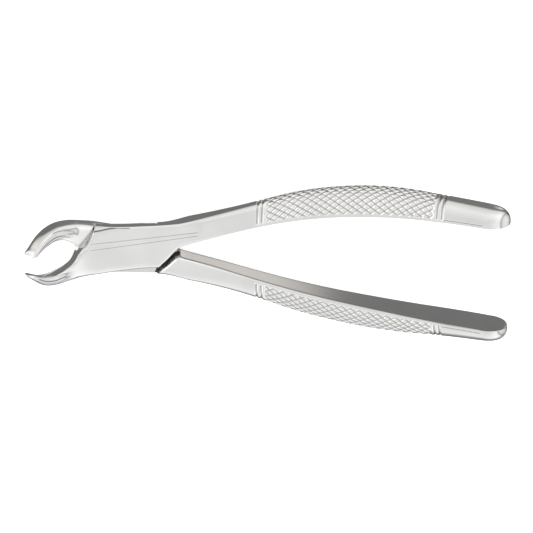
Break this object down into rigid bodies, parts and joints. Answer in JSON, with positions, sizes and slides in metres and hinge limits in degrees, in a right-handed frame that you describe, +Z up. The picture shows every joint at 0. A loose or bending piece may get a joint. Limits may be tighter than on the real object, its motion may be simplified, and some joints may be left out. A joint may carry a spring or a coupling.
{
  "type": "extraction forceps",
  "caption": "Dental extraction forceps with curved hollowed beaks, a screwed lap joint and spread, knurled handles.",
  "frame": {"origin": "middle of the footprint, on the surface that the forceps lie on with the rear joint face down", "axes": "+X along the instrument from the beaks to the handle ends, +Y the way the front half's handle spreads, +Z up along the pivot screw's axis, the way the beaks and handles sweep"},
  "size_m": [0.1602, 0.0526, 0.0276],
  "materials": {
    "polished_steel": "polished",
    "screw_steel": "satin"
  },
  "bodies": {
    "front": {"front_half": "polished_steel", "pivot_screw": "screw_steel"},
    "rear": {"rear_half": "polished_steel"}
  },
  "joints": [
    {"name": "pivot", "type": "hinge", "parent": "front", "child": "rear", "pos_m": [-0.04556, 0, 0.0038], "axis": [0, 0, 1], "range_deg": [0, 10.4]}
  ]
}
